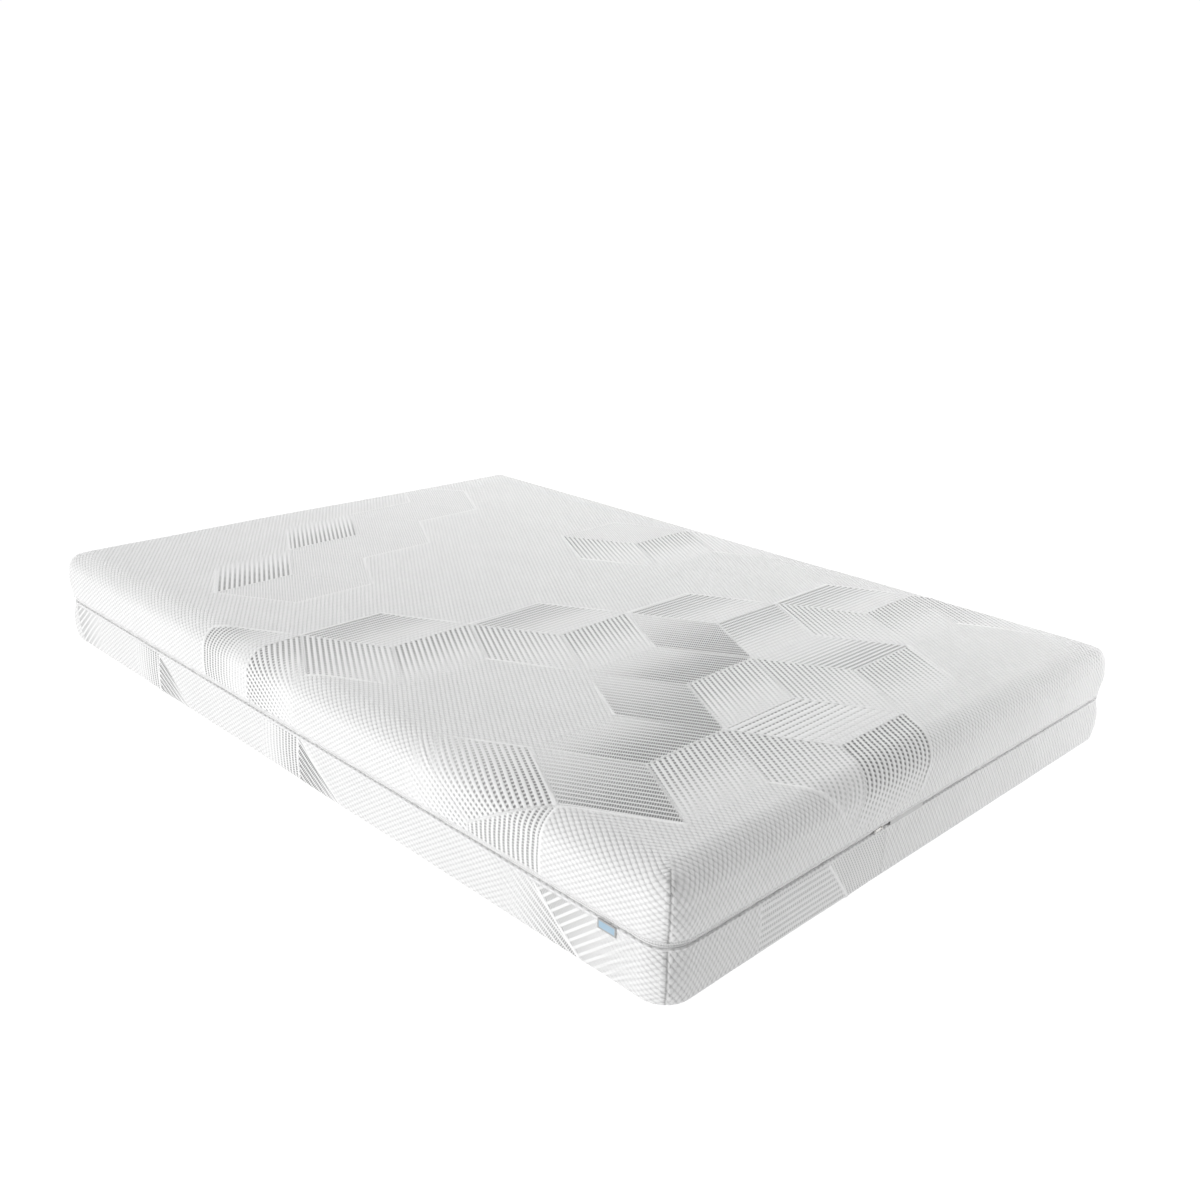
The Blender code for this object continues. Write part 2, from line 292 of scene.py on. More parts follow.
# ---------------------------------------------------------------- mesh building
def make_mesh(name, points, quads, triangles=None, loop=None, weld=None):
    """A mesh from arrays: quads, triangles and perhaps one closing polygon.

    weld joins some points to others. Returns the object, and the unjoined point of each face
    corner is kept on it for attribute().
    """
    parts = [np.asarray(quads, np.int32).reshape(-1, 4)]
    parts.append(np.asarray(triangles if triangles is not None else [], np.int32).reshape(-1, 3))
    if loop is not None:
        parts.append(np.asarray(loop, np.int32).reshape(1, -1))
    index = np.concatenate([p.ravel() for p in parts])
    sizes = np.concatenate([np.full(len(p), p.shape[1]) for p in parts if len(p)])
    starts = np.concatenate([[0], np.cumsum(sizes)[:-1]]).astype(np.int32)
    corner_of = index
    if weld is not None:
        joined = np.unique(weld, return_inverse=True)[1]
        share = np.bincount(joined)
        points = np.stack([np.bincount(joined, points[:, k]) / share for k in range(3)], axis=1)
        index = joined[index].astype(np.int32)
    mesh = bpy.data.meshes.new(name)
    mesh.vertices.add(len(points))
    mesh.vertices.foreach_set("co", np.ascontiguousarray(points, np.float32).ravel())
    mesh.loops.add(len(index))
    mesh.loops.foreach_set("vertex_index", index)
    mesh.polygons.add(len(sizes))
    mesh.polygons.foreach_set("loop_start", starts)
    mesh.polygons.foreach_set("use_smooth", np.ones(len(sizes), bool))
    mesh.update(calc_edges=True)
    obj = bpy.data.objects.new(name, mesh)
    bpy.context.scene.collection.objects.link(obj)
    if weld is not None:
        CORNERS[name] = corner_of
    return obj


CORNERS = {}


def attribute(obj, name, columns):
    """A vector stored at each vertex, or at each face corner of a welded mesh."""
    data = np.stack(columns, axis=1).astype(np.float32)
    if obj.name in CORNERS:
        layer = obj.data.attributes.new(name, "FLOAT_VECTOR", "CORNER")
        data = data[CORNERS[obj.name]]
    else:
        layer = obj.data.attributes.new(name, "FLOAT_VECTOR", "POINT")
    layer.data.foreach_set("vector", np.ascontiguousarray(data).ravel())


def running_length(points):
    """Length along a line of points, from its start."""
    return np.concatenate([[0], np.cumsum(np.hypot(*np.diff(points, axis=0).T))])


def spaced(low, high, step):
    """Evenly spaced numbers from low to high, about this step apart."""
    return np.linspace(low, high, max(2, int(round((high - low) / step)) + 1))


def side_columns(half, radius, side, grid, step):
    """The columns of one flap, from seam to seam: arc centre, outward direction, turn."""
    out = np.array(((1, 0), (0, 1), (-1, 0), (0, -1))[side], float)
    tangent = np.array((-out[1], out[0]))
    inner = np.array(half) - radius
    reach = abs(out @ inner)
    span = abs(tangent @ inner)
    line = grid if tangent.sum() > 0 else -grid[::-1]
    turns = np.linspace(0, math.pi / 4, max(3, int(round(math.pi / 4 * radius / step)) + 1))
    place = np.concatenate([np.full(len(turns) - 1, -span), line, np.full(len(turns) - 1, span)])
    angle = np.concatenate([-turns[:0:-1], np.zeros(len(line)), turns[1:]])
    centre = out * reach + place[:, None] * tangent
    facing = np.cos(angle)[:, None] * out + np.sin(angle)[:, None] * tangent
    return centre, facing, angle, out, tangent


def resample(points, step):
    """Points evenly along a line of corners, the corners kept."""
    rows = [points[:1]]
    for a, b in zip(points[:-1], points[1:]):
        n = max(1, int(round(np.hypot(*(b - a)) / step)))
        rows.append(a + (b - a) * (np.arange(1, n + 1) / n)[:, None])
    return np.concatenate(rows)


def arc(centre, size, start, end, step):
    """A quarter ellipse's points, angles in degrees."""
    n = max(4, int(round(abs(math.radians(end - start)) * max(size) / step)))
    a = np.radians(np.linspace(start, end, n + 1))
    return np.stack([centre[0] + size[0] * np.cos(a), centre[1] + size[1] * np.sin(a)], axis=1)


def skin(half, radius, profile, grid_x, grid_y, step, up=1):
    """Vertices of a rounded box's skin: a flat middle and four flaps that share the corners.

    profile is (distance from the corner's axis, height) from the flat's edge outwards. Returns
    points, normals, cloth coordinates, distance down the flap, seam distance, row, side and faces.
    """
    rows = np.asarray(profile, float)
    run = running_length(rows)
    slope = np.gradient(rows, axis=0)
    slope /= np.hypot(*slope.T)[:, None]
    normal_r, normal_z = -up * slope[:, 1], up * slope[:, 0]
    normal_r[0], normal_z[0] = 0.0, up
    nx, ny = len(grid_x), len(grid_y)
    gx, gy = np.meshgrid(grid_x, grid_y, indexing="ij")
    flat = np.stack([gx.ravel(), gy.ravel(), np.full(nx * ny, rows[0, 1])], axis=1)
    points, normals = [flat], [np.tile((0.0, 0.0, float(up)), (nx * ny, 1))]
    cloth = [flat[:, :2].copy()]
    down, seam = [np.zeros(nx * ny)], [np.full(nx * ny, 1.0)]
    row_of, side_of = [np.zeros(nx * ny, int)], [np.full(nx * ny, -1)]
    turn = [np.zeros(nx * ny)]
    at = np.arange(nx * ny).reshape(nx, ny)
    ij = at[:-1, :-1], at[1:, :-1], at[1:, 1:], at[:-1, 1:]
    quads = [np.stack([a.ravel() for a in ij], axis=1)]
    triangles, rims, columns = [], [], []
    count = nx * ny
    borders = [at[-1, :], at[::-1, -1], at[0, ::-1], at[:, 0]]
    for side in range(4):
        grid = grid_y if side % 2 == 0 else grid_x
        centre, facing, angle, out, tangent = side_columns(half, radius, side, grid, step)
        n = len(angle)
        corner = (n - len(grid)) // 2
        border = borders[side]
        first = np.concatenate([np.full(corner, border[0]), border, np.full(corner, border[-1])])
        r = rows[1:, 0][:, None, None]
        xy = centre[None] + r * facing[None]
        z = np.broadcast_to(rows[1:, 1][:, None, None], (len(rows) - 1, n, 1))
        points.append(np.concatenate([xy, z], axis=2).reshape(-1, 3))
        nr = normal_r[1:][:, None, None] * facing[None]
        nz = np.broadcast_to(normal_z[1:][:, None, None], (len(rows) - 1, n, 1))
        normals.append(np.concatenate([nr, nz], axis=2).reshape(-1, 3))
        s = run[1:][:, None]
        swing = angle[None] * rows[1:, 0][:, None]
        place = centre[None] + s[..., None] * out + swing[..., None] * tangent
        cloth.append(place.reshape(-1, 2))
        down.append(np.broadcast_to(s, (len(rows) - 1, n)).ravel())
        along = np.abs(centre @ tangent)[None] + np.abs(swing)
        reach = abs(np.abs(tangent) @ (np.array(half) - radius))
        seam.append((reach + math.pi / 4 * rows[1:, 0][:, None] - along).ravel())
        turn.append(np.broadcast_to(centre @ tangent, (len(rows) - 1, n)).ravel() + swing.ravel())
        row_of.append(np.repeat(np.arange(1, len(rows)), n))
        side_of.append(np.full((len(rows) - 1) * n, side))
        ids = np.vstack([first, count + np.arange((len(rows) - 1) * n).reshape(-1, n)])
        q = np.stack([ids[:-1, :-1], ids[1:, :-1], ids[1:, 1:], ids[:-1, 1:]], axis=2)
        q = q.reshape(-1, 4)
        pole = q[:, 0] == q[:, 3]
        quads.append(q[~pole])
        triangles.append(q[pole][:, :3])
        rims.append(ids[-1])
        columns.append(ids)
        count += (len(rows) - 1) * n
    weld = np.arange(count)
    for side in range(4):
        weld[columns[(side + 1) % 4][1:, 0]] = columns[side][1:, -1]
    quads, triangles = np.concatenate(quads), np.concatenate(triangles)
    loop = np.concatenate([r[:-1] for r in rims])[::-1]
    if up < 0:
        quads, triangles, loop = quads[:, ::-1], triangles[:, ::-1], loop[::-1]
    data = {
        "points": np.concatenate(points), "normals": np.concatenate(normals),
        "cloth": np.concatenate(cloth), "down": np.concatenate(down),
        "seam": np.concatenate(seam), "row": np.concatenate(row_of),
        "side": np.concatenate(side_of), "turn": np.concatenate(turn),
        "quads": quads, "triangles": triangles, "loop": loop, "weld": weld,
    }
    return data


def outline(half, radius, step):
    """Arc centres and outward directions once round the rounded rectangle."""
    grids = (spaced(-(half[1] - radius), half[1] - radius, step),
             spaced(-(half[0] - radius), half[0] - radius, step))
    centres, facings = [], []
    for side in range(4):
        centre, facing = side_columns(half, radius, side, grids[side % 2], step)[:2]
        centres.append(centre[:-1])
        facings.append(facing[:-1])
    return np.concatenate(centres), np.concatenate(facings)


def sweep(name, half, radius, section, step, change=None):
    """A closed section swept round the outline. change(points, length) may move its columns."""
    centre, facing = outline(half, radius, step)
    length = running_length(centre + radius * facing)
    n, m = len(centre), len(section)
    rz = np.broadcast_to(section[None], (n, m, 2)).copy()
    if change is not None:
        change(rz, length)
    xy = centre[:, None] + (radius + rz[..., :1]) * facing[:, None]
    points = np.concatenate([xy, rz[..., 1:]], axis=2).reshape(-1, 3)
    at = np.arange(n * m).reshape(n, m)
    turned = np.roll(at, -1, axis=1)
    corners = (at, turned, np.roll(turned, -1, axis=0), np.roll(at, -1, axis=0))
    obj = make_mesh(name, points, np.stack([c.ravel() for c in corners], axis=1))
    around = running_length(section)
    attribute(obj, "cloth", [np.repeat(length, m), np.tile(around, n), np.zeros(n * m)])
    return obj


def panel(name, front, back, nx, nz):
    """A thin closed slab between two nx by nz grids of points."""
    at = np.arange(nx * nz).reshape(nx, nz)
    quads = np.stack([at[:-1, :-1], at[1:, :-1], at[1:, 1:], at[:-1, 1:]], axis=2).reshape(-1, 4)
    rim = np.concatenate([at[:-1, 0], at[-1, :-1], at[:0:-1, -1], at[0, :0:-1]])
    other = np.roll(rim, -1)
    wall = np.stack([rim, rim + nx * nz, other + nx * nz, other], axis=1)
    points = np.concatenate([front.reshape(-1, 3), back.reshape(-1, 3)])
    return make_mesh(name, points, np.concatenate([quads, quads[:, ::-1] + nx * nz, wall]))


def rim_distance(u, v, low_u, high_u, low_v, high_v):
    """Distance to the nearest side of a rectangle."""
    return np.minimum(np.minimum(u - low_u, high_u - u), np.minimum(v - low_v, high_v - v))


def twice(values):
    """The same values for a panel's front and back."""
    return np.concatenate([values.ravel()] * 2)


# ---------------------------------------------------------------- shader building
class Graph:
    """Small helper that adds and links shader nodes."""

    def __init__(self, name):
        self.material = bpy.data.materials.new(name)
        self.material.use_nodes = True
        self.tree = self.material.node_tree
        self.shader = self.tree.nodes["Principled BSDF"]

    def link(self, socket, value):
        if isinstance(value, bpy.types.NodeSocket):
            self.tree.links.new(value, socket)
        else:
            socket.default_value = value

    def node(self, kind, inputs=(), **settings):
        made = self.tree.nodes.new(kind)
        for key, value in settings.items():
            setattr(made, key, value)
        for key, value in dict(inputs).items():
            self.link(made.inputs[key], value)
        return made

    def math(self, operation, a, b=0.0, c=0.0, clamp=False):
        made = self.node("ShaderNodeMath", operation=operation, use_clamp=clamp)
        for socket, value in zip(made.inputs, (a, b, c)):
            self.link(socket, value)
        return made.outputs[0]

    def span(self, value, low, high, to_low=0.0, to_high=1.0, kind="SMOOTHSTEP"):
        made = self.node("ShaderNodeMapRange", interpolation_type=kind)
        for socket, v in zip(made.inputs, (value, low, high, to_low, to_high)):
            self.link(socket, v)
        return made.outputs[0]

    def mix(self, factor, a, b):
        made = self.node("ShaderNodeMix", data_type="RGBA")
        self.link(made.inputs["Factor"], factor)
        self.link(made.inputs[6], a)
        self.link(made.inputs[7], b)
        return made.outputs[2]

    def stored(self, name):
        made = self.node("ShaderNodeAttribute", attribute_name=name)
        split = self.node("ShaderNodeSeparateXYZ", {0: made.outputs["Vector"]})
        return made.outputs["Vector"], split.outputs[0], split.outputs[1], split.outputs[2]

    def noise(self, vector, scale, detail=2.0):
        made = self.node("ShaderNodeTexNoise", {"Vector": vector, "Scale": scale,
                                                "Detail": detail})
        return made.outputs["Fac"]

    def bump(self, height, strength=1.0):
        made = self.node("ShaderNodeBump", {"Height": height, "Distance": 1.0,
                                            "Strength": strength})
        self.link(self.shader.inputs["Normal"], made.outputs[0])

    def set(self, **values):
        for key, value in values.items():
            self.link(self.shader.inputs[key.replace("_", " ")], value)
        return self.material


def grey(value, warm=0.0):
    """A grey colour, perhaps a little warm."""
    return (value * (1 + warm), value, value * (1 - warm), 1.0)


def waves(g, value, period):
    """Cosine of a coordinate with this period."""
    return g.math("COSINE", g.math("MULTIPLY", value, 2 * math.pi / period))


def knit_material(name, pale):
    """Stretch knit: staggered lens-shaped bumps, ribs of dotted grooves and smooth ridges.

    trim's third number is the groove's share of the pitch, and the place along it on a hem.
    """
    g = Graph(name)
    cloth, x, y, ridge = g.stored("cloth")
    _, phase, along, depth = g.stored("rib")
    _, seam, trim, share = g.stored("trim")
    half_x, half_y = math.pi / WAFFLE[0], math.pi / WAFFLE[1]
    ax, ay = g.math("MULTIPLY", x, half_x), g.math("MULTIPLY", y, half_y)
    even = g.math("ABSOLUTE", g.math("MULTIPLY", g.math("COSINE", ax), g.math("COSINE", ay)))
    odd = g.math("ABSOLUTE", g.math("MULTIPLY", g.math("SINE", ax), g.math("SINE", ay)))
    lens = g.math("MAXIMUM", even, odd)
    lens = g.span(lens, 0.0, 0.95)
    plain = g.math("MULTIPLY", g.math("SUBTRACT", 1.0, ridge, clamp=True),
                   g.math("SUBTRACT", 1.0, trim, clamp=True))
    plain = g.math("MULTIPLY", plain,
                   g.math("SUBTRACT", 1.0, g.math("MULTIPLY", depth, 1.6), clamp=True))
    wave = g.math("COSINE", g.math("MULTIPLY", phase, 2 * math.pi))
    bank = g.math("COSINE", g.math("MULTIPLY", share, math.pi))
    groove = g.span(g.math("SUBTRACT", wave, bank), -0.30, 0.30)
    dots = g.span(g.math("COSINE", g.math("MULTIPLY", along, 2 * math.pi)), -0.7, 0.6)
    groove = g.math("MULTIPLY", groove, g.math("ADD", g.math("MULTIPLY", dots, 0.78), 0.22))
    groove = g.math("MULTIPLY", groove, depth)
    yarn = g.node("ShaderNodeTexVoronoi", {"Vector": cloth, "Scale": 900.0})
    fuzz = g.noise(cloth, 420.0, 3.0)
    blotch = g.noise(cloth, 9.0, 3.0)
    stitch = g.span(g.math("COSINE", g.math("MULTIPLY", share, 2 * math.pi / STITCH_PITCH)),
                    0.2, 0.9)
    stitch = g.math("MULTIPLY", stitch, g.span(trim, 0.80, 1.0))
    height = g.math("MULTIPLY", g.math("MULTIPLY", lens, plain), WAFFLE_HEIGHT)
    height = g.math("SUBTRACT", height, g.math("MULTIPLY", stitch, STITCH_BUMP))
    height = g.math("SUBTRACT", height, g.math("MULTIPLY", groove, GROOVE_BUMP))
    height = g.math("ADD", height, g.math("MULTIPLY", yarn.outputs["Distance"], 0.00009))
    height = g.math("ADD", height, g.math("MULTIPLY", fuzz, 0.00008))
    colour = g.mix(g.span(blotch, 0.3, 0.7), grey(pale * 0.975), grey(pale))
    # Painted shade: the valleys between the lens bumps are darkened
    valley_shade = g.math("MULTIPLY", g.math("SUBTRACT", 1.0, lens), plain)
    colour = g.mix(g.math("MULTIPLY", valley_shade, 0.36), colour, grey(pale * 0.50))
    # Painted highlight: the raised ridges are lightened above the knit's own colour
    colour = g.mix(g.math("MULTIPLY", ridge, 0.85, clamp=True), colour, grey(pale * 1.15))
    # Painted shade in the hem's stitch dimples
    colour = g.mix(g.math("MULTIPLY", stitch, 0.35), colour, grey(pale * 0.6))
    # Painted shade in the rib grooves, strongest on each face's deep side
    colour = g.mix(g.math("MULTIPLY", groove, 0.9, clamp=True), colour, grey(pale * 0.27))
    # Painted shade along the corner seams' groove
    colour = g.mix(g.math("MULTIPLY", seam, 0.80, clamp=True), colour, grey(pale * 0.33))
    colour = g.mix(g.math("MULTIPLY", fuzz, 0.10), colour, grey(pale * 0.8))
    g.bump(height)
    return g.set(Base_Color=colour, Roughness=0.86, Sheen_Weight=0.25, Sheen_Roughness=0.45)


def tape_material(name, pale):
    """Woven zip tape: fine ribs across and a herringbone of two yarns."""
    g = Graph(name)
    cloth, x, y, _ = g.stored("cloth")
    slant = g.math("ADD", x, g.math("ABSOLUTE", g.math("SUBTRACT", y, 0.008)))
    twill = g.span(waves(g, slant, 0.0011), -1.0, 1.0)
    ribs = g.span(waves(g, y, 0.0008), -1.0, 1.0)
    blotch = g.noise(cloth, 30.0)
    height = g.math("ADD", g.math("MULTIPLY", twill, 0.00012), g.math("MULTIPLY", ribs, 0.00008))
    colour = g.mix(twill, grey(pale * 0.86), grey(pale))
    colour = g.mix(g.math("MULTIPLY", blotch, 0.25), colour, grey(pale * 0.8, 0.01))
    g.bump(height)
    return g.set(Base_Color=colour, Roughness=0.8, Sheen_Weight=0.15)


def coil_material(name, pale):
    """Nylon coil: satin, a little translucent in colour, with painted shade between the turns."""
    g = Graph(name)
    cloth, x, y, _ = g.stored("cloth")
    turn = g.span(waves(g, x, COIL_PITCH), -1.0, 1.0)
    blotch = g.noise(cloth, 60.0)
    # Painted shade between the coil's turns
    colour = g.mix(turn, grey(pale * 0.55), grey(pale))
    colour = g.mix(g.math("MULTIPLY", blotch, 0.2), colour, grey(pale * 0.8, 0.02))
    g.bump(g.math("MULTIPLY", turn, 0.0003))
    return g.set(Base_Color=colour, Roughness=0.38)


def metal_material(name):
    """Die-cast nickel plate: fine scratches and slightly uneven polish."""
    g = Graph(name)
    place = g.node("ShaderNodeTexCoord").outputs["Object"]
    grain = g.noise(place, 900.0, 4.0)
    wear = g.noise(place, 160.0, 3.0)
    colour = g.mix(wear, (0.60, 0.59, 0.57, 1), (0.82, 0.81, 0.79, 1))
    g.bump(g.math("MULTIPLY", grain, 0.00004))
    rough = g.span(wear, 0.3, 0.7, 0.24, 0.42)
    return g.set(Base_Color=colour, Roughness=rough, Metallic=1.0)


def foam_material(name, light, pore_shade_colour, cell, depth):
    """Open-cell foam: pores of two sizes with painted shade in their hollows and a soft colour
    drift.
    """
    g = Graph(name)
    place = g.node("ShaderNodeTexCoord").outputs["Object"]
    large = g.node("ShaderNodeTexVoronoi", {"Vector": place, "Scale": 1 / cell})
    small = g.node("ShaderNodeTexVoronoi", {"Vector": place, "Scale": 2.7 / cell})
    pores = g.math("MINIMUM", large.outputs["Distance"],
                   g.math("ADD", small.outputs["Distance"], 0.15))
    hollow_shade = g.span(pores, 0.32, 0.12)
    drift = g.noise(place, 7.0, 3.0)
    colour = g.mix(g.span(drift, 0.35, 0.65), light, tuple(0.94 * c for c in light[:3]) + (1,))
    # Painted shade in the pore hollows
    colour = g.mix(g.math("MULTIPLY", hollow_shade, 0.6), colour, pore_shade_colour)
    g.bump(g.math("MULTIPLY", pores, depth))
    return g.set(Base_Color=colour, Roughness=0.92, Sheen_Weight=0.1)


def label_material(name):
    """Satin ribbon: pale blue face, light grey woven border, no print."""
    g = Graph(name)
    cloth, x, y, face = g.stored("cloth")
    weave = g.span(waves(g, g.math("ADD", x, y), 0.0007), -1.0, 1.0)
    inner = g.mix(weave, (0.26, 0.41, 0.53, 1), (0.33, 0.48, 0.61, 1))
    border = g.mix(weave, grey(0.28), grey(0.38))
    blotch = g.noise(cloth, 90.0)
    colour = g.mix(face, border, inner)
    colour = g.mix(g.math("MULTIPLY", blotch, 0.18), colour, grey(0.75))
    g.bump(g.math("MULTIPLY", weave, 0.00008))
    return g.set(Base_Color=colour, Roughness=0.5, Sheen_Weight=0.1)


# ---------------------------------------------------------------- the two covers
def seam_shape(data, start, end):
    """The corner seams' groove, puckers and peaked corner, for rows between start and end."""
    s, d = data["down"], data["seam"]
    along = smooth(s, start, start + 0.02) * (1 - smooth(s, end - 0.004, end))
    groove = np.exp(-((d / SEAM_WIDTH) ** 2)) * along
    strip = smooth(d, 0.002, 0.006)
    uneven = 1.5 * noise(data["cloth"], 0.02, 5)
    ripple = np.cos(2 * math.pi * (s - 0.5 * d) / PUCKER_PITCH + uneven)
    pucker = ripple * strip * np.exp(-((d / PUCKER_REACH) ** 2)) * along
    peak = smooth(s, start, start + 0.03) * (1 - smooth(s, end - 0.045, end))
    return groove, pucker, np.exp(-d / CORNER_REACH) * peak


def finish_cover(name, data, patches, ridges, outer_rows, hem_row, seam_span, smooth_hem):
    """Displaces the skin, stores what the knit shader reads and makes the mesh."""
    outer = data["row"] <= outer_rows
    phase, along, depth, share, ridge = paint(data["cloth"], patches, ridges)
    hem = np.where(data["row"] >= hem_row, smooth_hem, 0.0) * outer
    body = np.where(data["row"] < hem_row - 1, 1.0, 0.0)
    depth, ridge = depth * body, ridge * body
    groove, pucker, corner = seam_shape(data, *seam_span)
    near_hem = np.where(outer, smooth(data["row"], hem_row - 12, hem_row), 0.0)
    swell = noise(data["cloth"], 0.21, 1) * 0.0007 + noise(data["cloth"], 0.09, 2) * 0.0004
    rib = (0.5 + 0.5 * np.cos(2 * math.pi * phase)) ** (0.7 / share)
    lift = swell * body - RIB_DEPTH * depth * rib + RIDGE_HEIGHT * ridge + RIB_SWELL * depth
    lift += -SEAM_DEPTH * groove + PUCKER_HEIGHT * pucker + CORNER_PEAK * corner
    walls = np.stack([data["turn"], data["side"] * 3.1], axis=1)
    lift += near_hem * HEM_WAVER * noise(walls, 0.017, 3)
    lift = np.where(outer, lift, 0.0)
    points = data["points"] + data["normals"] * lift[:, None]
    points[:, 2] -= sag(points) * outer
    obj = make_mesh(name, points, data["quads"], data["triangles"], data["loop"], data["weld"])
    # rib's depth also sets the grooves' painted shade, cloth's ridge the ridges' painted highlight,
    # and trim's first number the seam line's painted shade
    attribute(obj, "cloth", [data["cloth"][:, 0], data["cloth"][:, 1], ridge])
    attribute(obj, "rib", [phase, along, depth * outer])
    attribute(obj, "trim", [np.exp(-((data["seam"] / SEAM_SHADE_WIDTH) ** 2)) * (groove > 0.05),
                            hem, np.where(hem > 0, data["turn"], share)])
    return obj


def sag(points):
    """How far the top has settled towards the edges, most on the far long side."""
    edge = np.minimum(HALF_LENGTH - np.abs(points[:, 0]), HALF_WIDTH - np.abs(points[:, 1]))
    far = smooth(points[:, 1], -0.25, 0.45)
    return 0.0065 * (1 - smooth(edge, -0.01, 0.17)) * far * smooth(points[:, 2], 0.12, 0.19)


def upper_profile(step):
    """Down the upper cover's section: rounding, side, rolled hem, then the lining."""
    r = PLAN_RADIUS
    top = arc((0, TOP_Z - TOP_ROUND), (r, TOP_ROUND), 90, 0, step)
    hem_top = UPPER_HEM_Z + 0.0036
    side = resample(np.array([(r, TOP_Z - TOP_ROUND), (r, hem_top + 0.004)]), step)[1:]
    t = (side[:, 1] - hem_top) / (TOP_Z - TOP_ROUND - hem_top)
    side[:, 0] += 0.0018 * np.sin(math.pi * np.clip(t, 0, 1)) ** 1.5
    crease = np.array([(r - 0.0005, hem_top + 0.0010), (r - 0.0007, hem_top)])
    roll = np.array([
        (r - 0.0001, hem_top - 0.0008), (r + 0.0003, hem_top - 0.0016),
        (r + 0.0002, UPPER_HEM_Z + 0.0012), (r - 0.0008, UPPER_HEM_Z + 0.0003),
        (r - 0.0030, UPPER_HEM_Z), (r - 0.0065, UPPER_HEM_Z),
        (r - FABRIC, UPPER_HEM_Z + 0.0003),
    ])
    inside = r - FABRIC
    lining = np.array([
        (inside, UPPER_HEM_Z + 0.010), (inside, TOP_Z - TOP_ROUND),
        (inside * 0.92, TOP_Z - FABRIC - 0.022), (inside * 0.70, TOP_Z - FABRIC - 0.008),
        (inside * 0.40, TOP_Z - FABRIC - 0.0012), (0.002, TOP_Z - FABRIC),
    ])
    outer = np.concatenate([top, side, crease, roll])
    return np.concatenate([outer, lining]), len(outer) - 1, len(top) + len(side) + 1


def lower_profile(step):
    """Up the lower cover's section: underside, base rounding, side, hem, then the tray."""
    r = PLAN_RADIUS - LOWER_INSET
    low = LOWER_LOW.z
    under = np.array([(0.0, low), ((r - BASE_ROUND) / 2, low)])
    base = arc((r - BASE_ROUND, low + BASE_ROUND), (BASE_ROUND, BASE_ROUND), -90, 0, step)
    hem_low = LOWER_HEM_Z - 0.0038
    side = resample(np.array([(r, low + BASE_ROUND), (r, hem_low - 0.003)]), step)[1:]
    t = (side[:, 1] - low - BASE_ROUND) / (hem_low - low - BASE_ROUND)
    side[:, 0] += 0.0015 * np.sin(math.pi * np.clip(t, 0, 1)) ** 1.5
    crease = np.array([(r - 0.0002, hem_low - 0.0010), (r - 0.0003, hem_low)])
    roll = np.array([
        (r - 0.0001, hem_low + 0.0008), (r + 0.0001, hem_low + 0.0017),
        (r, LOWER_HEM_Z - 0.0014), (r - 0.0010, LOWER_HEM_Z - 0.0004),
        (r - 0.0030, LOWER_HEM_Z), (r - 0.0060, LOWER_HEM_Z),
        (r - FABRIC + LOWER_INSET, LOWER_HEM_Z - 0.0005),
    ])
    inside = r - FABRIC + LOWER_INSET
    lining = np.array([
        (inside, LOWER_HEM_Z - 0.010), (inside, low + 0.014), (inside * 0.95, low + 0.0100),
        (inside * 0.85, low + FABRIC), (0.002, low + FABRIC),
    ])
    outer = np.concatenate([under, base, side, crease, roll])
    rows = len(outer) - 1
    return np.concatenate([outer, lining]), rows, len(under) + len(base) + len(side) + 1


# Both covers share the same columns, so their walls line up at the zip
grid_x = spaced(-(HALF_LENGTH - PLAN_RADIUS), HALF_LENGTH - PLAN_RADIUS, STEP)
grid_y = spaced(-(HALF_WIDTH - PLAN_RADIUS), HALF_WIDTH - PLAN_RADIUS, STEP)

patches = faces_to_patches()
profile, outer_rows, hem_row = upper_profile(STEP)
data = skin((HALF_LENGTH, HALF_WIDTH), PLAN_RADIUS, profile, grid_x, grid_y, STEP)
upper = finish_cover("upper_cover_knit", data, patches, patch_ridges(patches),
                     outer_rows, hem_row, (0.022, 0.143), 1.0)
upper.data.materials.append(knit_material("upper_cover_knit", 0.80))
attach(upper, "upper_cover")
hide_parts("upper_cover")

# The lower cover's motifs, on its own cloth: wall place and height turned to cloth points
lower_half = (HALF_LENGTH - LOWER_INSET, HALF_WIDTH - LOWER_INSET)
lower_radius = PLAN_RADIUS - LOWER_INSET


def wall_run(z):
    """Cloth length from the base panel's edge up the lower cover's wall to this height."""
    return (lower_radius - BASE_ROUND) + BASE_ROUND * math.pi / 2 + (z - BASE_ROUND)


def long_wall(x, z):
    """Cloth point of the lower cover at this place on the -Y wall."""
    return np.array((x, -(lower_half[1] - lower_radius + wall_run(z))))


def foot_wall(y, z):
    """Cloth point of the lower cover at this place on the +X wall."""
    return np.array((lower_half[0] - lower_radius + wall_run(z), y))


lower_patches = [
    (np.array([long_wall(*p) for p in corners]), ribs, side, depth)
    for corners, ribs, side, depth in [
        (((-0.95, 0.10), (-0.925, 0.0), (-0.80, 0.0), (-0.83, 0.10)), "b", -1, 1.0),
        (((-0.64, 0.10), (-0.64, -0.01), (-0.53, -0.01), (-0.522, 0.10)), "v", 1, 1.0),
        (((-0.522, 0.10), (-0.53, -0.01), (-0.37, -0.01)), "a", -1, 1.0),
        (((-0.09, 0.10), (-0.09, -0.01), (0.041, -0.01), (0.045, 0.10)), "v", 1, 1.0),
        (((0.045, 0.10), (0.041, -0.01), (0.21, -0.01)), "a", -1, 1.1),
        (((0.64, 0.10), (0.64, 0.0), (0.83, 0.0), (0.71, 0.10)), "a", 1, 0.7),
        (((0.71, 0.10), (0.83, 0.0), (0.945, 0.0), (0.945, 0.10)), "b", -1, 1.0),
    ]
] + [
    (np.array([foot_wall(*p) for p in corners]), ribs, side, depth)
    for corners, ribs, side, depth in [
        (((-0.49, 0.10), (-0.49, 0.0), (-0.245, 0.0), (-0.32, 0.10)), "v", 0, 0.55),
        (((-0.32, 0.10), (-0.245, 0.0), (-0.15, 0.0), (-0.15, 0.10)), "f", 0, 1.1),
    ]
]
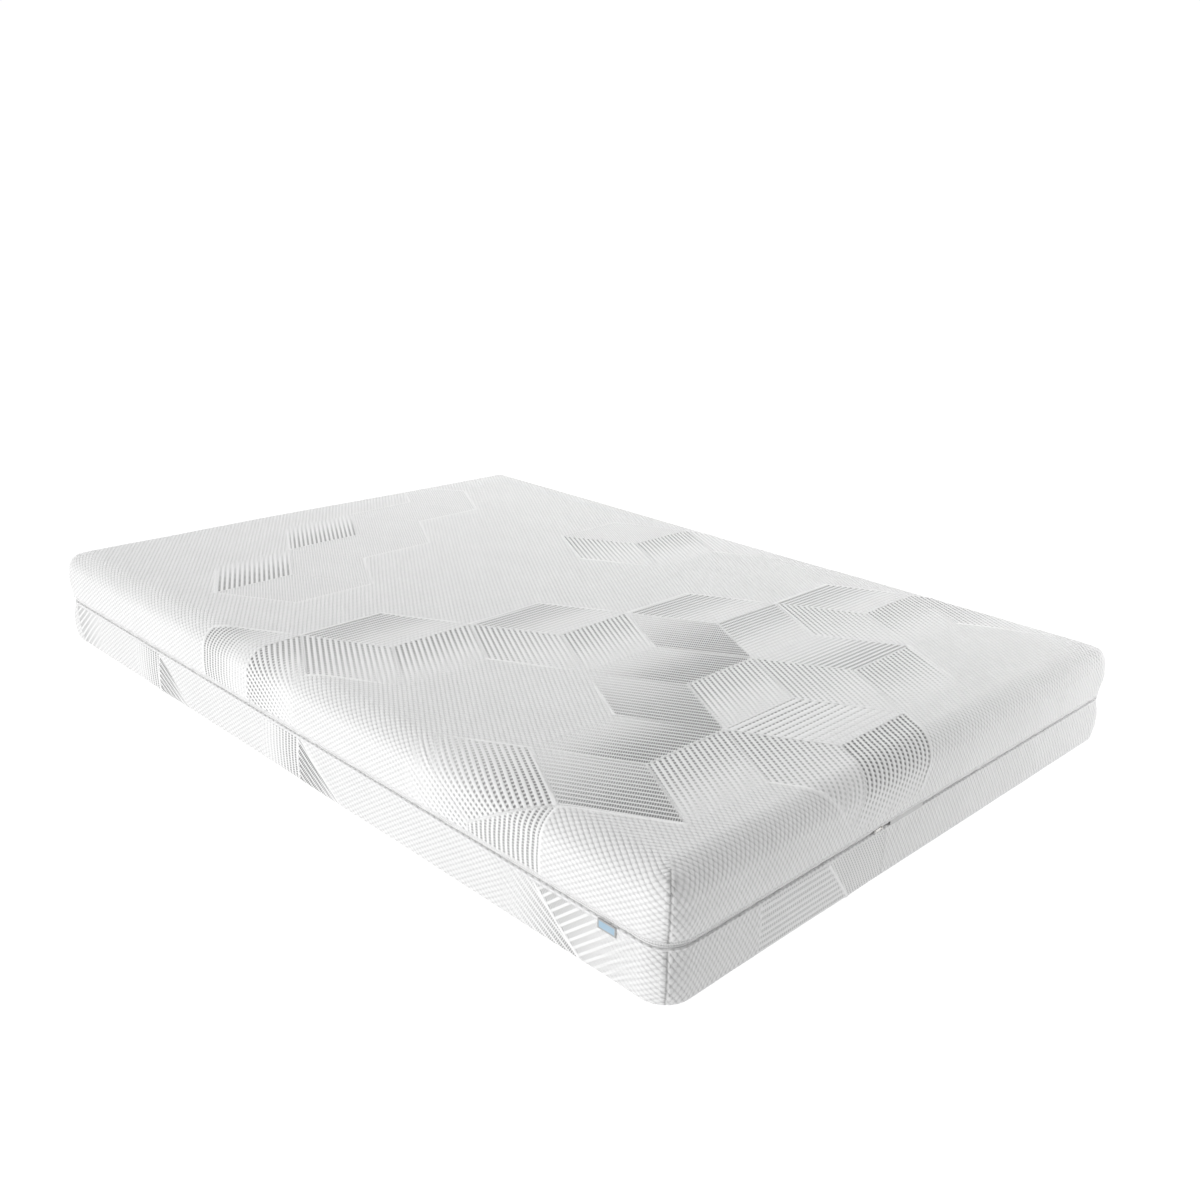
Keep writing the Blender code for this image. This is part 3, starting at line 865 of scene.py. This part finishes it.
lower_ridges = [
    (long_wall(-0.519, 0.10), long_wall(-0.530, 0.0), 1.0, None),
    (long_wall(0.045, 0.10), long_wall(0.041, 0.0), 1.0, None),
    (long_wall(0.045, 0.10), long_wall(0.20, -0.005), 0.6, None),
    (long_wall(0.71, 0.10), long_wall(0.83, 0.0), 1.0, None),
    (foot_wall(-0.32, 0.10), foot_wall(-0.245, 0.0), 1.0, None),
]
profile, outer_rows, hem_row = lower_profile(STEP)
data = skin(lower_half, lower_radius, profile, grid_x, grid_y, STEP, up=-1)
lower = finish_cover("lower_cover_knit", data, lower_patches, lower_ridges,
                     outer_rows, hem_row, (0.050, 0.146), 0.3)
lower.data.materials.append(knit_material("lower_cover_knit", 0.78))
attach(lower, "lower_cover")
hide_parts("lower_cover")


# ---------------------------------------------------------------- the zip
TAPE_ALLOWANCE = 0.0085  # the part of each tape that is sewn in between the hem's layers
TAPE_THICKNESS = 0.0008
TAPE_POINTS = 17
COIL_HALF_DEPTH = 0.0009
COIL_PITCH = 0.0025


def node_section(node):
    """How far a ring-shaped CAD node lies behind the cover's face, and its bottom and top."""
    low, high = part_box(node)
    inset = HALF_LENGTH - high.x
    return inset, low.z, high.z


zip_tape = tape_material("zip_tape_weave", 0.93)
zip_coil = coil_material("zip_coil_nylon", 0.90)

for name, body in (("upper_zip", "upper_cover"), ("lower_zip", "lower_cover")):
    inset, low, high = node_section(name + "_tape")
    if body == "upper_cover":
        high += TAPE_ALLOWANCE
    else:
        low -= TAPE_ALLOWANCE
    rows = np.linspace(low, high, TAPE_POINTS)
    bulge = 0.0001 * np.cos(np.arange(TAPE_POINTS) * math.pi)
    front = np.stack([-inset + bulge, rows], axis=1)
    back = np.stack([np.full(TAPE_POINTS, -inset - TAPE_THICKNESS), rows[::-1]], axis=1)
    tape = sweep(name + "_tape_woven", (HALF_LENGTH, HALF_WIDTH), PLAN_RADIUS,
                 np.concatenate([front, back]), 0.004)
    tape.data.materials.append(zip_tape)
    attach(tape, body)
    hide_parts(name + "_tape")

    inset, low, high = node_section(name + "_coil")
    middle, half_z = (low + high) / 2, (high - low) / 2
    angles = np.linspace(0, 2 * math.pi, 8, endpoint=False)
    axis_r = -inset - COIL_HALF_DEPTH
    section = np.stack([axis_r + COIL_HALF_DEPTH * np.cos(angles),
                        middle + half_z * np.sin(angles)], axis=1)

    def turns(rz, length):
        swell = 0.72 + 0.28 * np.cos(2 * math.pi * length / COIL_PITCH)[:, None]
        rz[..., 0] = axis_r + (rz[..., 0] - axis_r) * swell
        rz[..., 1] = middle + (rz[..., 1] - middle) * (0.8 + 0.2 * swell)

    coil = sweep(name + "_coil_turns", (HALF_LENGTH, HALF_WIDTH), PLAN_RADIUS, section,
                 0.000625, change=turns)
    coil.data.materials.append(zip_coil)
    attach(coil, body)
    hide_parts(name + "_coil")

metal = metal_material("zip_metal_nickel")
for node in ("zip_slider", "zip_puller", "zip_start_stop", "zip_end_stop"):
    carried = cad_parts[node]
    carried.data.materials.clear()
    carried.data.materials.append(metal)

# The fabric flap over the zip's ends, a little longer downwards, where it is sewn on
low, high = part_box("zip_garage")
low.z -= 0.0024
nx, nz = 60, 12
gy, gz = np.meshgrid(np.linspace(low.y, high.y, nx), np.linspace(low.z, high.z, nz), indexing="ij")
edge = rim_distance(gy, gz, low.y, high.y, low.z, high.z)
swell = 0.0003 * smooth(edge, 0, 0.002) - 0.0002 * np.exp(-(((edge - 0.0022) / 0.0005) ** 2))
front = np.stack([high.x + swell, gy, gz], axis=2)
back = np.stack([np.full_like(gy, low.x + 0.0002), gy, gz], axis=2)
flap = panel("zip_garage_flap", front, back, nx, nz)
attribute(flap, "cloth", [twice(gy), twice(gz), np.zeros(2 * nx * nz)])
# The flap's weave is darkened with painted shade, to match the zip tape lying in the shade of its
# channel
flap.data.materials.append(tape_material("zip_garage_weave_painted_shade", 0.62))
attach(flap, "lower_cover")
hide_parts("zip_garage")

# ---------------------------------------------------------------- the label
low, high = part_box("side_label")
nx, nz = 77, 35
gx, gz = np.meshgrid(np.linspace(low.x, high.x, nx), np.linspace(low.z, high.z, nz), indexing="ij")
edge = rim_distance(gx, gz, low.x, high.x, low.z, high.z)
hang = (high.z - gz) / (high.z - low.z)
bow = 0.0003 * np.sin(math.pi * hang) * (1 + 0.5 * np.sin(gx * 160))
border = 0.00025 * np.exp(-(((edge - 0.0018) / 0.0008) ** 2))
front = np.stack([gx, low.y - bow - border, gz], axis=2)
back = np.stack([gx, np.full_like(gx, high.y) - bow, gz], axis=2)
label = panel("side_label_ribbon", front, back, nx, nz)
attribute(label, "cloth", [twice(gx), twice(gz), twice(smooth(edge, 0.0026, 0.0032))])
label.data.materials.append(label_material("side_label_satin"))
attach(label, "side_label")
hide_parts("side_label")


# ---------------------------------------------------------------- the foam
FOAM_RADIUS = 0.0425
FOAM_WOBBLE = 0.0004
SLIT_DEPTH = 0.030
SLIT_WIDTH = 0.006
SLIT_PITCH = 0.050
COMFORT_ZONES = (-0.60, -0.05, 0.55)


def foam_block(name, node, radius, top_round, base_round, wobble, slits=()):
    """A rounded, slightly uneven block of foam in the place of a CAD node."""
    low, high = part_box(node)
    half = (high.x, high.y)
    top = arc((radius - top_round, high.z - top_round), (top_round, top_round), 90, 0,
              FOAM_STEP / 2)
    side = resample(np.array([(radius, high.z - top_round), (radius, low.z + base_round)]),
                    FOAM_STEP)[1:]
    base = arc((radius - base_round, low.z + base_round), (base_round, base_round), 0, -90,
               FOAM_STEP / 2)[1:]
    profile = np.concatenate([np.array([(0.0, high.z)]), top, side, base,
                              np.array([(0.002, low.z)])])
    gx = spaced(-(half[0] - radius), half[0] - radius, FOAM_STEP)
    for centre, width in slits:
        gx = gx[np.abs(gx - centre) > width / 2 + 0.0015]
        cut = centre + np.array((-0.5, -0.46, -0.2, 0.2, 0.46, 0.5)) * width
        gx = np.sort(np.concatenate([gx, cut]))
    gy = spaced(-(half[1] - radius), half[1] - radius, FOAM_STEP)
    data = skin(half, radius, profile, gx, gy, FOAM_STEP)
    p = data["points"]
    drift = noise(p[:, :2] + p[:, 2:] * 0.7, 0.16, 11) + 0.5 * noise(p[:, :2] - p[:, 2:], 0.05, 12)
    lift = wobble * (drift - 1.5)
    points = p + data["normals"] * lift[:, None]
    for centre, width in slits:
        deep = np.abs(p[:, 0] - centre) < 0.48 * width
        points[deep, 2] = np.minimum(points[deep, 2], high.z - SLIT_DEPTH)
    obj = make_mesh(name, points, data["quads"], data["triangles"], data["loop"], data["weld"])
    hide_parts(node)
    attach(obj, "foam_core")
    return obj


slits = [(zone + (i - 2) * SLIT_PITCH, SLIT_WIDTH) for zone in COMFORT_ZONES for i in range(5)]
memory = foam_block("memory_foam_slab", "memory_foam_layer", FOAM_RADIUS, 0.040, 0.002, FOAM_WOBBLE)
memory.data.materials.append(foam_material(
    "memory_foam_cells", (0.80, 0.80, 0.77, 1), (0.60, 0.59, 0.55, 1), 0.0011, 0.0003))
support = foam_block("support_core_slab", "support_core", FOAM_RADIUS, 0.002, 0.010, FOAM_WOBBLE,
                     slits)
support.data.materials.append(foam_material(
    "support_core_cells", (0.74, 0.75, 0.77, 1), (0.46, 0.48, 0.52, 1), 0.0019, 0.0006))


# ---------------------------------------------------------------- stage, light and camera
def area_light(name, place, target, size, power):
    light = bpy.data.lights.new(name, "AREA")
    light.shape = "RECTANGLE"
    light.size, light.size_y = size
    light.energy = power
    obj = bpy.data.objects.new(name, light)
    bpy.context.scene.collection.objects.link(obj)
    obj.location = place
    obj.rotation_euler = (Vector(target) - Vector(place)).to_track_quat("-Z", "Y").to_euler()
    obj.visible_camera = False
    return obj


FLOOR_GAP = 0.0006
FLOOR_REACH = 40
floor_corners = [(-1, -1, 0), (1, -1, 0), (1, 1, 0), (-1, 1, 0)]
floor = make_mesh("floor", np.array(floor_corners) * FLOOR_REACH + (0, 0, cad_low.z - FLOOR_GAP),
                  [(0, 1, 2, 3)])
g = Graph("floor")
g.set(Base_Color=grey(0.16), Roughness=0.9, Emission_Color=(1, 1, 1, 1), Emission_Strength=0.94)
g.shader.inputs["Specular IOR Level"].default_value = 0.0
floor.data.materials.append(g.material)
floor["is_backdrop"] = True

def sky_range(source, low, high, to_low, to_high, kind="SMOOTHSTEP"):
    """A map range node in the sky's node tree."""
    made = tree.nodes.new("ShaderNodeMapRange")
    made.interpolation_type = kind
    tree.links.new(source, made.inputs[0])
    for socket, value in zip(made.inputs[1:5], (low, high, to_low, to_high)):
        socket.default_value = value
    return made


# A white sky that is darker beyond the foot side and overhead
world = bpy.data.worlds.new("studio")
bpy.context.scene.world = world
world.use_nodes = True
tree = world.node_tree
sky = tree.nodes["Background"]
sky.inputs["Color"].default_value = (1, 1, 1, 1)
where = tree.nodes.new("ShaderNodeTexCoord")
split = tree.nodes.new("ShaderNodeSeparateXYZ")
tree.links.new(where.outputs["Generated"], split.inputs[0])
towards_foot, upwards = split.outputs[0], split.outputs[2]
foot_sky = sky_range(upwards, 0.10, 0.45, 0.38, 0.17, kind="LINEAR")
fall = sky_range(towards_foot, -0.20, 0.55, 1.02, 0.17)
tree.links.new(foot_sky.outputs[0], fall.inputs[4])
overhead = sky_range(upwards, 0.15, 0.60, 1.0, 0.72)
product = tree.nodes.new("ShaderNodeMath")
product.operation = "MULTIPLY"
tree.links.new(fall.outputs[0], product.inputs[0])
tree.links.new(overhead.outputs[0], product.inputs[1])
tree.links.new(product.outputs[0], sky.inputs["Strength"])

area_light("long_side_softbox", (-0.2, -3.2, 0.7), (0.0, -0.7, 0.1), (3.6, 0.9), 49)
area_light("head_softbox", (-2.4, 1.5, 2.4), (0.1, 0.0, 0.1), (2.2, 1.2), 44)
area_light("back_softbox", (0.3, 2.0, 3.0), (0.1, 0.4, 0.2), (2.6, 0.8), 27)
area_light("foot_softbox", (2.2, 1.9, 0.7), (1.0, 0.6, 0.1), (0.9, 0.7), 26)

CAMERA_PLACE = (1.95298, -1.82057, 1.14629)
YAW, PITCH_DOWN, ROLL = -0.77991, 0.33869, 0.02999
LENS = 37.2435
right = Vector((math.cos(YAW), -math.sin(YAW), 0))
ahead = Vector((math.cos(PITCH_DOWN) * math.sin(YAW), math.cos(PITCH_DOWN) * math.cos(YAW),
                -math.sin(PITCH_DOWN)))
above = Vector((math.sin(PITCH_DOWN) * math.sin(YAW), math.sin(PITCH_DOWN) * math.cos(YAW),
                math.cos(PITCH_DOWN)))
axis_x = math.cos(ROLL) * right + math.sin(ROLL) * above
axis_y = -math.sin(ROLL) * right + math.cos(ROLL) * above
camera_data = bpy.data.cameras.new("camera")
camera_data.lens = LENS
camera_data.sensor_width = 36.0
camera = bpy.data.objects.new("camera", camera_data)
bpy.context.scene.collection.objects.link(camera)
turned = Matrix((axis_x, axis_y, -ahead)).transposed().to_4x4()
camera.matrix_world = Matrix.Translation(CAMERA_PLACE) @ turned
bpy.context.scene.camera = camera
bpy.context.scene.view_settings.view_transform = "Standard"

low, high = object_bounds()
